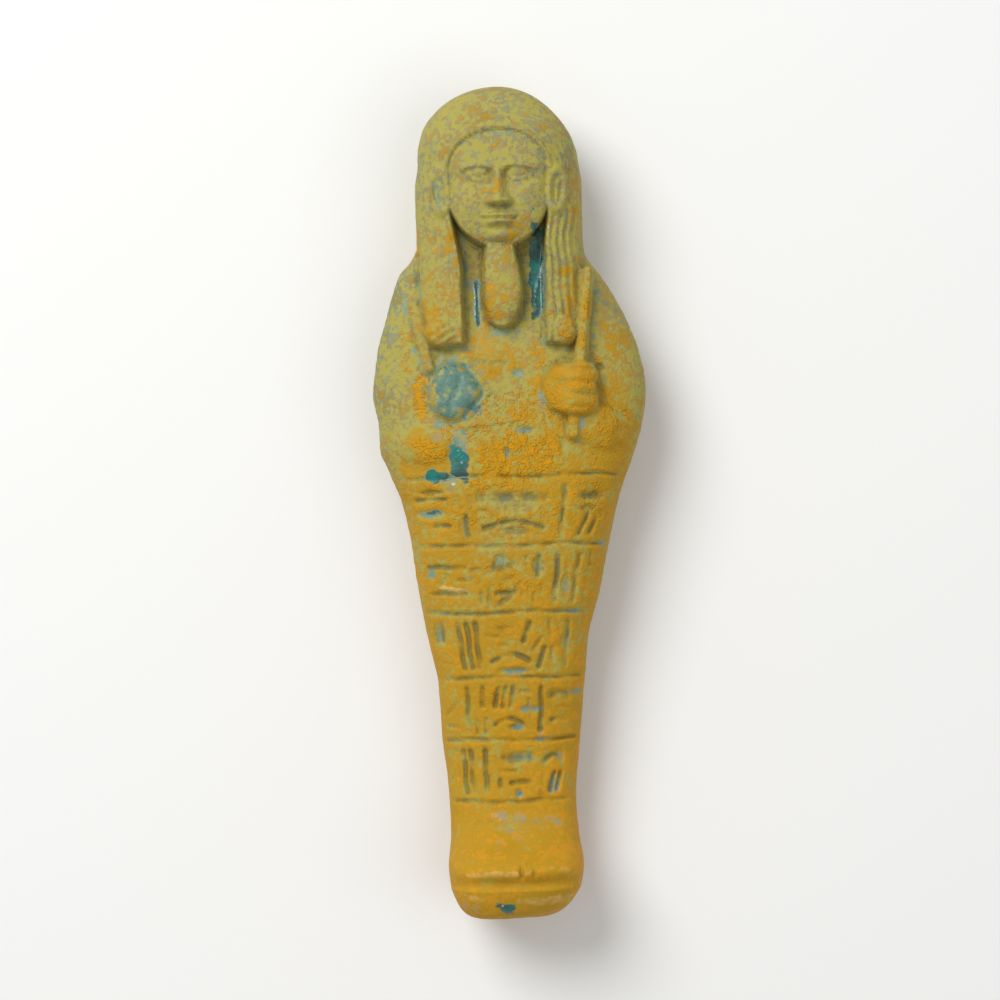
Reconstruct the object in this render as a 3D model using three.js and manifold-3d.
// Ushabti figurine: a small mummy-shaped funerary figure of glazed composition (faience), pressed in
// an open mould, one piece. It lies on its flat back pillar, face up.
// Millimetres. +X is the figure's left side, +Y runs from the sole to the crown, +Z from back to face.
// "down" is the distance from the crown towards the sole, and x is measured from the middle line of
// the head. The body is one sphere whose rings become the sections of the figure. The face, hair,
// beard, hands and arms are blocks whose top faces take their form, joined to the body, and the
// strokes of the inscription are cut last.
import * as THREE from "three";
import { mergeVertices } from "three/addons/utils/BufferGeometryUtils.js";
import Module from "manifold-3d";

const LENGTH = 120; // crown to sole

// Heights along the figure
const CROWN_END = 11; // where the rounding of the crown has reached the full section
const CROWN_LEAN = 0.07; // share by which the crown is fuller on the right side than on the left
const HAIRLINE = 6.6;
const CHIN = 23.2;
const SHOULDER = 24;
const CHEST = 17.2; // height of the ground from which the beard, knobs and hands rise
const BEARD_END = 35.2;
const LAPPET_END = 37.4;
const TOES = 113;
const SOLE_START = 115.6;
const SOLE_CORNERS = [7, 4.2]; // how square its right and left corners are

// Wig: locks run from one lappet up beside the face, over the brow and down to the other lappet
const WIG_HALF = 12;
const LEFT_LAPPET_INNER = 6.5; // inner edges of the lappets, from the middle line
const RIGHT_LAPPET_INNER = 5.7;
const ARCH_CENTRE = 12.4; // above it the locks turn over the head
const LOCKS = 5;
const LOCK_RISE = 0.4;
const RECESS = 14.4; // floor of the sunk ground round the face and beside the beard
const EAR_PLACE = 8.4;

// Face, in thirds from hairline to brow, brow to nose base and nose base to chin, and five eyes wide
const FACE_HALF = 7.1;
const THIRD = (CHIN - HAIRLINE) / 3;
const BROW = HAIRLINE + THIRD;
const NOSE_BASE = BROW + THIRD;
const EYE_LINE = BROW + 0.25 * THIRD;
const MOUTH_LINE = NOSE_BASE + THIRD / 3;
const EYE_WIDTH = (2 * FACE_HALF) / 5;

// Back pillar, and the wig's lower edge behind
const PILLAR_HALF = 5.4;
const PILLAR_DEPTH = 5; // from the flat back into the body
const PILLAR_TOP = 27.4;
const PILLAR_END = 114;
const WIG_BACK_END = 26.4;

// Inscription: five registers between six ruled lines
const FIRST_LINE = 56.4;
const REGISTERS = 5;
const FIRST_PITCH = 9.9;
const PITCH_LOSS = 0.27; // each register is this much lower than the one above
const LINE_HALF = 0.5;
const LINE_DEPTH = 0.4;
const STROKE_HALF = 0.44;
const WIDE_STROKE_HALF = 1;
const STROKE_DEPTH = 0.45;
const RUN_MIDDLES = [0.31, 0.7]; // of a register's upper and lower run, as shares of its height
const RUN_REACH = 0.14; // half the height of a run
const MARGIN = 0.86; // share of the width that the inscription fills

// Sections, as [down, value]
const leftSide = [[11, 11.6], [15, 12], [23.5, 12.1], [25, 12.5], [27, 13.9], [30, 15.9], [34, 18],
  [38, 19.5], [44, 20.6], [48, 20.2], [52, 19.1], [55.5, 17.8], [60, 16.2], [66, 14.8], [73, 13.2],
  [80, 11.3], [86, 10.6], [93, 9.95], [103, 9], [108, 9.2], [112.5, 9.8], [116, 9.3]];
const rightSide = [[11, 11.6], [15, 12.1], [23, 12], [24.5, 12.7], [27, 14.8], [30, 15.9], [34, 17],
  [38, 18.2], [44, 18.95], [46.2, 18.7], [48, 18.3], [52, 18.1], [55.5, 16.7], [60, 15.1],
  [66, 13.9], [73, 13.1], [80, 11.8], [86, 10.6], [93, 10.3], [103, 9.5], [108, 9.4], [112.5, 9.8],
  [116, 9.5]];
const partingHeight = [[0, 12], [12, 11.2], [24, 10.6], [30, 10], [44, 9.5], [60, 9.2], [80, 8.2],
  [100, 7.4], [108, 7.8], [113, 9.5], [118, 10.5]];
const frontHeight = [[0, 19.4], [HAIRLINE, 20.3], [12, 19.8], [SHOULDER - 0.6, 19.4],
  [SHOULDER, RECESS], [28, 15.3], [34, 16.4], [44, 17.8], [56, 18.4], [70, 17.4], [85, 15.6],
  [100, 13.7], [105, 14.1], [109, 16.9], [TOES - 1.4, 19.9], [TOES, 20.8], [TOES + 0.8, 20.2],
  [TOES + 1.7, 19.3], [SOLE_START, 20.3], [116, 20.6]];
const backHeight = [[0, 1.2], [12, 0.7], [24, 1.6], [30, 2.2], [60, 1.9], [100, 1.9], [112, 1.3],
  [118, 0.9]];
const squareness = [[0, 2.3], [24, 2.3], [34, 2.5], [56, 2.5], [90, 2.25], [106, 2.4], [114, 3.2]];
const wigHeight = [[0, 19.4], [HAIRLINE, 20.3], [12, 19.8], [24, 19], [LAPPET_END, 19.4]];

// The left elbow stands out further, so the middle line lies beside the middle of the box.
const widest = (side) => Math.max(...side.map(([, half]) => half));
const MIDDLE_LINE = (widest(rightSide) - widest(leftSide)) / 2;

// Monotone cubic through [place, value] pairs, level beyond the ends.
function through(points, at) {
  const last = points.length - 1;
  if (at <= points[0][0]) return points[0][1];
  if (at >= points[last][0]) return points[last][1];
  const slope = (k) => (points[k + 1][1] - points[k][1]) / (points[k + 1][0] - points[k][0]);
  const tangent = (k) => {
    if (k === 0 || k === last) return k ? slope(last - 1) : slope(0);
    const before = slope(k - 1);
    const after = slope(k);
    return before * after <= 0 ? 0 : (2 * before * after) / (before + after);
  };
  const k = points.findIndex((p) => p[0] > at) - 1;
  const span = points[k + 1][0] - points[k][0];
  const t = (at - points[k][0]) / span;
  const rise = points[k + 1][1] - points[k][1];
  const bend = t * (1 - t) * ((1 - t) * (tangent(k) * span - rise) - t * (tangent(k + 1) * span - rise));
  return points[k][1] + rise * t + bend;
}

const step = (from, to, at) => THREE.MathUtils.smoothstep((at - from) / (to - from), 0, 1);
const hill = (t) => (Math.abs(t) < 1 ? (1 - t * t) ** 2 : 0); // soft swelling, 1 in the middle
const ball = (t, power = 2) => (Math.abs(t) < 1 ? (1 - Math.abs(t) ** power) ** (1 / power) : 0);

// ---- solids: manifold-3d joins and cuts them

const wasm = await Module();
wasm.setup();

function solidOf(geometry) {
  const bare = geometry.clone();
  bare.deleteAttribute("normal");
  bare.deleteAttribute("uv");
  const merged = mergeVertices(bare, 1e-4);
  return new wasm.Manifold(
    new wasm.Mesh({
      numProp: 3,
      vertProperties: new Float32Array(merged.getAttribute("position").array),
      triVerts: new Uint32Array(merged.index.array),
    }),
  );
}

function geometryOf(solid) {
  const mesh = solid.getMesh();
  return new THREE.BufferGeometry()
    .setAttribute("position", new THREE.BufferAttribute(mesh.vertProperties, 3))
    .setIndex(new THREE.BufferAttribute(mesh.triVerts, 1));
}

const pointAt = (x, down, z) => new THREE.Vector3(MIDDLE_LINE + x, LENGTH / 2 - down, z);

// A block whose top and bottom faces are shaped: outline places (across, along), each from -1 to 1,
// as [x, down], and top gives the height there.
function block(columns, rows, outline, top, bottom) {
  const box = new THREE.BoxGeometry(2, 2, 2, columns, rows, 1);
  const position = box.getAttribute("position");
  for (let k = 0; k < position.count; k++) {
    const across = position.getX(k);
    const along = -position.getY(k);
    const [x, down] = outline(across, along);
    const z = position.getZ(k) > 0 ? top(x, down, across, along) : bottom;
    position.setXYZ(k, ...pointAt(x, down, z));
  }
  return solidOf(box);
}

// The square of (across, along) rounded to a disc, and the distance from its centre, 1 at its rim.
const onDisc = (across, along) => [
  across * Math.sqrt(1 - (along * along) / 2),
  along * Math.sqrt(1 - (across * across) / 2),
];
const reach = (across, along) => Math.hypot(...onDisc(across, along));

// Outline of an oval, turned by lean radians.
function oval({ x, down, half, tall, lean = 0 }) {
  return (across, along) => {
    const [a, b] = onDisc(across, along);
    const turned = [a * half * Math.cos(lean) - b * tall * Math.sin(lean),
      a * half * Math.sin(lean) + b * tall * Math.cos(lean)];
    return [x + turned[0], down + turned[1]];
  };
}

// ---- the body, crown to sole

// Share of the full section that the rounded crown has reached.
const crownShare = (down) => (down < CROWN_END ? ball(1 - down / CROWN_END, 1.95) : 1);

function halfWidth(x, down) {
  const lean = 1 - CROWN_LEAN * Math.sign(x) * hill(down / (CROWN_END + 1));
  return through(x < 0 ? rightSide : leftSide, down) * crownShare(down) * lean;
}

const lineAt = (row) => FIRST_LINE + row * FIRST_PITCH - (PITCH_LOSS * row * (row - 1)) / 2;

function ruledLines(down) {
  let cut = 0;
  for (let row = 0; row <= REGISTERS; row++)
    cut = Math.max(cut, 1 - Math.abs(down - lineAt(row)) / LINE_HALF);
  return LINE_DEPTH * cut;
}

function frontSurface(x, down) {
  const parting = through(partingHeight, down);
  const share = Math.abs(x) / halfWidth(x, down);
  const rise = (through(frontHeight, down) - parting) * crownShare(down);
  return parting + rise * ball(share, through(squareness, down)) - ruledLines(down) * step(0.99, 0.9, share);
}

function backSurface(x, down) {
  const parting = through(partingHeight, down);
  const share = Math.abs(x) / halfWidth(x, down);
  const wigEdge = 0.9 * step(WIG_BACK_END, WIG_BACK_END + 1, down) * step(1, 0.8, share);
  return parting - (parting - through(backHeight, down)) * crownShare(down) * ball(share, 2.6) + wigEdge;
}

// Places of the rings: close together where a form is cut across the figure.
function ringPlaces() {
  const places = [];
  const run = (from, to, count) => {
    for (let k = 0; k < count; k++) places.push(from + ((to - from) * k) / count);
  };
  for (let k = 1; k < 7; k++) places.push(CROWN_END * (1 - Math.cos((k * Math.PI) / 14)));
  run(CROWN_END, SHOULDER - 0.6, 4);
  places.push(SHOULDER - 0.6, SHOULDER);
  run(SHOULDER + 1.2, WIG_BACK_END, 1);
  run(WIG_BACK_END, WIG_BACK_END + 1, 1);
  run(WIG_BACK_END + 1, FIRST_LINE - LINE_HALF, 9);
  for (let row = 0; row <= REGISTERS; row++)
    places.push(lineAt(row) - LINE_HALF, lineAt(row), lineAt(row) + LINE_HALF);
  run(TOES - 6.4, TOES - 2.4, 2);
  run(TOES - 2.4, TOES, 3);
  run(TOES, SOLE_START, 4);
  places.push(SOLE_START);
  return places;
}

const rings = ringPlaces();
const SOLE_RINGS = 4;
const FRONT_COLUMNS = 22;
const BACK_COLUMNS = 10;

// A point of the body: ring 0 is the crown, and the last ring the middle of the sole.
function bodyPoint(column, ring) {
  if (ring === 0) return pointAt(0, 0, through(partingHeight, 0));
  const sole = Math.max(0, ring - rings.length);
  const down = rings[Math.min(ring, rings.length) - 1];
  const front = column <= FRONT_COLUMNS;
  const turn = front ? column / FRONT_COLUMNS : 1 - (column - FRONT_COLUMNS) / BACK_COLUMNS;
  const share = -Math.cos(turn * Math.PI);
  const edge = turn === 0 || turn === 1;
  const x = share * halfWidth(share, down);
  const surface = front ? frontSurface : backSurface;
  const z = edge ? through(partingHeight, down) : surface(x, down);
  if (!sole) return pointAt(x, down, z);
  // The sole closes as a low dome.
  const left = 1 - (sole / SOLE_RINGS) ** 1.6;
  const corner = THREE.MathUtils.lerp(...SOLE_CORNERS, step(-1, 1, share));
  const end = LENGTH - (LENGTH - SOLE_START) * left ** corner;
  const middle = (through(frontHeight, down) + 0.4) / 2;
  return pointAt(x * left, end, middle + (z - middle) * left);
}

function body() {
  const columns = FRONT_COLUMNS + BACK_COLUMNS;
  const count = rings.length + SOLE_RINGS;
  const sphere = new THREE.SphereGeometry(1, columns, count);
  const position = sphere.getAttribute("position");
  const uv = sphere.getAttribute("uv");
  for (let k = 0; k < position.count; k++) {
    const ring = Math.round((1 - uv.getY(k)) * count);
    // the poles' own uv are shifted by half a column, and any column gives the same point there
    const column = Math.round(uv.getX(k) * columns) % columns;
    position.setXYZ(k, ...bodyPoint(column, ring));
  }
  return solidOf(sphere);
}

function backPillar() {
  const pillar = new THREE.BoxGeometry(2 * PILLAR_HALF, PILLAR_END - PILLAR_TOP, PILLAR_DEPTH);
  const middle = pointAt(0, (PILLAR_TOP + PILLAR_END) / 2, PILLAR_DEPTH / 2);
  return solidOf(pillar.translate(middle.x, middle.y, middle.z));
}

// ---- the head

function wigTop(x, down) {
  const half = WIG_HALF * crownShare(down) + 0.3;
  const parting = through(partingHeight, down);
  const power = THREE.MathUtils.lerp(2.3, 3.2, step(ARCH_CENTRE, LAPPET_END, down));
  return parting + (through(wigHeight, down) - parting) * crownShare(down) * ball(x / half, power);
}

// Inner edge of the hair: an arch over the brow, then down beside the face to the lappets.
function hairInner(side, down) {
  const lappet = side < 0 ? RIGHT_LAPPET_INNER : LEFT_LAPPET_INNER;
  return through([[ARCH_CENTRE, FACE_HALF], [18, FACE_HALF - 0.1], [SHOULDER + 2, lappet]], down);
}

function openingHalf(side, down) {
  if (down > ARCH_CENTRE) return hairInner(side, down);
  return Math.max(0.4, FACE_HALF * ball((ARCH_CENTRE - down) / (ARCH_CENTRE - HAIRLINE)));
}

function faceOpening() {
  const outline = (across, along) => {
    const down = THREE.MathUtils.lerp(HAIRLINE, SHOULDER + 0.4, (1 + along) / 2);
    return [across * openingHalf(across, down), down];
  };
  const clear = 30; // above every form of the head
  return block(4, 12, outline, () => clear, RECESS);
}

// Across the locks and along them, from the end of the right lappet to the end of the left one.
function hairOutline(across, along) {
  const archShare = 0.5;
  const out = (1 + across) / 2;
  if (Math.abs(along) > archShare) {
    const down = THREE.MathUtils.mapLinear(Math.abs(along), archShare, 1, ARCH_CENTRE, LAPPET_END);
    const side = Math.sign(along);
    return [side * THREE.MathUtils.lerp(hairInner(side, down), WIG_HALF - 0.2, out), down];
  }
  const turn = (along / archShare) * (Math.PI / 2);
  const half = THREE.MathUtils.lerp(FACE_HALF, WIG_HALF - 0.2, out);
  const tall = THREE.MathUtils.lerp(ARCH_CENTRE - HAIRLINE, ARCH_CENTRE - 1.4, out);
  return [half * Math.sin(turn), ARCH_CENTRE - tall * Math.cos(turn)];
}

function hair() {
  const top = (x, down, across) => {
    const ridge = (1 - Math.cos(Math.PI * LOCKS * (1 + across))) / 2;
    const fade = step(1.2, 0.5, across) * (0.5 + 0.5 * step(HAIRLINE - 2, ARCH_CENTRE, down));
    return wigTop(x, down) + 0.05 + LOCK_RISE * ridge * fade;
  };
  return block(2 * LOCKS, 28, hairOutline, top, 11);
}

function nose(x, down) {
  const along = (down - EYE_LINE + 0.6) / (NOSE_BASE - EYE_LINE + 0.6);
  if (along < -0.3 || along > 1.12) return 0;
  const rise = along < 1 ? 0.6 + 2.2 * Math.max(along, 0) : 2.8 * (1 - (along - 1) / 0.12);
  const bridge = hill(x / (1.05 + 0.7 * Math.max(along, 0))) * rise;
  const wings = 1.3 * hill((Math.abs(x) - 1.1) / 0.95) * hill((down - NOSE_BASE + 0.75) / 1.1);
  return Math.max(bridge, wings) * step(-0.3, 0.1, along);
}

function eyeSocket(x, down) {
  const across = (Math.abs(x) - EYE_WIDTH) / (EYE_WIDTH / 2);
  const hollow = -0.9 * hill(across / 1.7) * hill((down - EYE_LINE + 0.1) / 1.8);
  const ridge = 0.55 * hill((down - BROW + 0.3 * hill(across / 1.8)) / 0.7) * ball(across / 1.6);
  return hollow + ridge;
}

function mouth(x, down) {
  const width = EYE_WIDTH * 0.8;
  const upper = 0.7 * hill((down - MOUTH_LINE + 0.45) / 0.7) * ball(x / width);
  const lower = 0.75 * hill((down - MOUTH_LINE - 0.6) / 0.8) * ball(x / (width * 0.85));
  const hollow = -0.3 * hill((down - MOUTH_LINE - 1.7) / 0.7) * hill(x / 2.6);
  const chin = 0.6 * hill((down - CHIN + 0.9) / 1.3) * hill(x / 2.4);
  return upper + lower + hollow + chin;
}

function faceTop(x, down) {
  const middle = through([[HAIRLINE, 19], [BROW, 20.1], [MOUTH_LINE, 20], [CHIN, 19.6]], down);
  const round = ball(Math.hypot(x / (FACE_HALF + 0.5), Math.max(0, down - 19) / 6.4), 2.5);
  const cheeks = 0.5 * hill((Math.abs(x) - 3.6) / 2.6) * hill((down - NOSE_BASE + 0.9) / 3);
  const features = cheeks + nose(x, down) + eyeSocket(x, down) + mouth(x, down);
  return RECESS + (middle - RECESS) * round + features;
}

function face() {
  const tuck = 0.3; // the face runs on a little under the hair
  const jawStart = EYE_LINE + 0.6;
  const outline = (across, along) => {
    const down = THREE.MathUtils.lerp(HAIRLINE - tuck, CHIN + tuck, (1 + along) / 2);
    const jaw = ball(Math.max(0, down - jawStart) / (CHIN + 1.6 * tuck - jawStart), 2.1);
    return [across * Math.min(openingHalf(across, down) + tuck, (FACE_HALF + tuck) * jaw), down];
  };
  return block(18, 24, outline, faceTop, RECESS - 2);
}

// An almond-shaped eye, level and open.
function eye(side) {
  const outline = (across, along) => {
    const tall = 0.12 + 0.68 * (1 - across * across);
    return [side * EYE_WIDTH + across * 0.55 * EYE_WIDTH, EYE_LINE + along * tall];
  };
  const socket = faceTop(side * EYE_WIDTH, EYE_LINE);
  const top = (x, down, across, along) => socket + 0.25 + 0.4 * ball(across * 0.9) * ball(along * 0.8);
  return block(6, 4, outline, top, RECESS);
}

function ear(side) {
  const top = (x, down, across, along) => wigTop(x, down) + 1 - 0.9 * hill(reach(across, along) / 0.7);
  return block(6, 6, oval({ x: side * EAR_PLACE, down: EYE_LINE + 2.2, half: 1.5, tall: 3.6 }), top, 13);
}

function beard() {
  const start = CHIN - 0.9;
  const halves = [[start, 2.1], [26, 2.5], [30, 2.95], [32.4, 2.6], [34.2, 1.8], [BEARD_END, 0.6]];
  const outline = (across, along) => {
    const down = THREE.MathUtils.lerp(start, BEARD_END, (1 + along) / 2);
    const bow = 0.35 * hill((down - 30) / 6); // it bows a little to the figure's left
    return [bow + across * through(halves, down), down];
  };
  const top = (x, down, across, along) => {
    const rise = 1.5 + 1.1 * step(-1, -0.4, along) - 0.9 * step(0.4, 1, along);
    return CHEST + rise * ball(across * 0.97, 3);
  };
  return block(6, 10, outline, top, 12);
}

function lappetKnob(side) {
  const place = { x: side * 8.9, down: LAPPET_END - 1.6, half: 2.4, tall: 2.3 };
  const top = (x, down, across, along) => CHEST + 2.6 * ball(0.85 * reach(across, along));
  return block(6, 6, oval(place), top, 13);
}

// ---- the arms

// The left fist grips an upright handle; the right one is bent inwards to a blunt point.
const leftFist = { x: 9.6, down: 44, half: 3.9, tall: 3.7 };
const rightFist = { x: -7.2, down: 44, half: 3.4, tall: 4.2 };

function grippingFist() {
  const outline = (across, along) => {
    const round = across > 0 ? 0.2 : 0.5; // squarer where the fingers close
    const x = leftFist.x + leftFist.half * across * Math.sqrt(1 - round * along * along);
    return [x, leftFist.down + leftFist.tall * along * Math.sqrt(1 - round * across * across)];
  };
  const top = (x, down, across, along) => {
    const swell = ball(0.9 * Math.max(Math.abs(across), Math.abs(along)), 2.6);
    const fingers = 0.3 * Math.cos(along * Math.PI * 4) * step(0, 0.3, across);
    return CHEST + (3.2 + fingers) * swell;
  };
  return block(6, 14, outline, top, 12);
}

function bentFist() {
  const round = oval(rightFist);
  const outline = (across, along) => {
    const [x, down] = round(across, along);
    const point = Math.max(0, across) * (1.4 * (1 - Math.abs(along)) - 0.6);
    return [x + point, down];
  };
  const top = (x, down, across, along) => CHEST - 0.4 + 3 * ball(0.88 * reach(across, along), 2.8);
  return block(6, 8, outline, top, 12);
}

// A forearm under the wrappings, from the elbow towards the fist.
function forearm(place) {
  const lowest = 10;
  const top = (x, down, across, along) => {
    const swell = ball(0.95 * reach(across, along));
    return Math.max(frontSurface(x, down) - 0.6 + 1.7 * swell, lowest);
  };
  return block(6, 6, oval(place), top, lowest - 1);
}

// A straight round bar along the surface, given by its ends as [x, down, height of its middle].
function rod(from, to, radius) {
  const start = pointAt(...from);
  const end = pointAt(...to);
  const bar = new THREE.CylinderGeometry(radius, radius, start.distanceTo(end), 8);
  const turn = new THREE.Quaternion().setFromUnitVectors(
    new THREE.Vector3(0, 1, 0),
    end.clone().sub(start).normalize(),
  );
  bar.applyQuaternion(turn);
  const middle = start.add(end).multiplyScalar(0.5);
  return solidOf(bar.translate(middle.x, middle.y, middle.z));
}

const arms = () => [
  forearm({ x: 13.2, down: 49.4, half: 4.9, tall: 3.3, lean: 0.5 }),
  forearm({ x: -11.9, down: 50.2, half: 4.7, tall: 3.4, lean: -0.5 }),
  grippingFist(),
  bentFist(),
  rod([12.6, 27.6, 15.6], [10.9, 41, 18.2], 1), // hoe handle above the left fist
  rod([9.9, 47, 18.2], [9.6, 51, 18.2], 0.9), // and below it
  rod([-13, 30.6, 14.9], [-10.4, 41, 17], 0.9), // worn handle above the right fist
];

// ---- the inscription: strokes that spell nothing

// Each register is an upper and a lower run of cells: - joins into a level stroke, = into a wide
// level one and n into an arc; | is an upright stroke, tall where both runs have it, / a slanting
// one and . a short tick.
const registers = [
  ["---   ====== | ==", "--- | nnnnnn | //"],
  ["----   ==  | | | ", "----   --    | | "],
  ["| |||     /    | ", "  ||| nnnnn /  | "],
  ["  | | ///   | == ", "  |   nnnn  | -- "],
  [" || |   ===  nnn ", " || | . ---   // "],
];

function strokesOf(row) {
  const top = lineAt(row);
  const pitch = lineAt(row + 1) - top;
  const cells = registers[row][0].length;
  const place = (cell, share) => {
    const down = top + pitch * share;
    const across = ((cell + 0.5) / cells) * 2 - 1;
    return [across * MARGIN * halfWidth(across, down), down];
  };
  const strokes = [];
  registers[row].forEach((run, lower) => {
    const middle = RUN_MIDDLES[lower];
    const [start, end] = [middle - RUN_REACH, middle + RUN_REACH];
    for (let cell = 0; cell < cells; cell++) {
      const mark = run[cell];
      if (mark === "|" && lower && registers[row][0][cell] === "|") continue;
      if (mark === "|") {
        const tall = !lower && registers[row][1][cell] === "|";
        strokes.push({ from: place(cell, start), to: place(cell, tall ? RUN_MIDDLES[1] + RUN_REACH : end) });
      } else if (mark === "/") {
        strokes.push({ from: place(cell + 0.3, start), to: place(cell - 0.3, end) });
      } else if (mark === ".") {
        strokes.push({ from: place(cell, middle - 0.05), to: place(cell, middle + 0.05) });
      } else if (mark !== " ") {
        let last = cell;
        while (run[last + 1] === mark) last += 1;
        const half = mark === "=" ? WIDE_STROKE_HALF : STROKE_HALF;
        const bow = mark === "n" ? 0.05 : 0;
        const bend = (share) => {
          const at = THREE.MathUtils.lerp(cell - 0.3, last + 0.3, share);
          return place(at, middle + bow * (1 - 2 * Math.sin(share * Math.PI)));
        };
        const parts = mark === "n" ? 3 : 1;
        for (let k = 0; k < parts; k++)
          strokes.push({ from: bend(k / parts), to: bend((k + 1) / parts), half });
        cell = last;
      }
    }
  });
  return strokes;
}

// A bar of diamond section laid along the surface, with one edge sunk into it.
function strokeCutter({ from, to, half = STROKE_HALF }) {
  const start = pointAt(...from, frontSurface(...from));
  const end = pointAt(...to, frontSurface(...to));
  const along = end.clone().sub(start);
  const length = along.length() + STROKE_HALF;
  along.normalize();
  const [x, down] = [(from[0] + to[0]) / 2, (from[1] + to[1]) / 2];
  const lean = (frontSurface(x + 0.4, down) - frontSurface(x - 0.4, down)) / 0.8;
  const out = new THREE.Vector3(-lean, 0, 1);
  out.addScaledVector(along, -out.dot(along)).normalize();
  const side = new THREE.Vector3().crossVectors(along, out);
  const bar = new THREE.CylinderGeometry(1, 1, length, 4);
  bar.scale(half, 1, STROKE_DEPTH);
  const middle = start.add(end).multiplyScalar(0.5);
  bar.applyMatrix4(new THREE.Matrix4().makeBasis(side, along, out).setPosition(middle));
  return solidOf(bar);
}

// ---- the whole figure

let figure = body().add(backPillar()).subtract(faceOpening());
const head = [hair(), face(), eye(-1), eye(1), ear(-1), ear(1), beard(), lappetKnob(-1), lappetKnob(1)];
for (const form of [...head, ...arms()]) figure = figure.add(form);
for (let row = 0; row < REGISTERS; row++)
  for (const stroke of strokesOf(row)) figure = figure.subtract(strokeCutter(stroke));

const faience = new THREE.MeshStandardMaterial({ color: 0xb39a35, roughness: 0.75, metalness: 0 });
const mesh = new THREE.Mesh(geometryOf(figure), faience);
mesh.name = "ushabti_figure";

const ushabti = new THREE.Group();
ushabti.add(mesh);
export default ushabti;
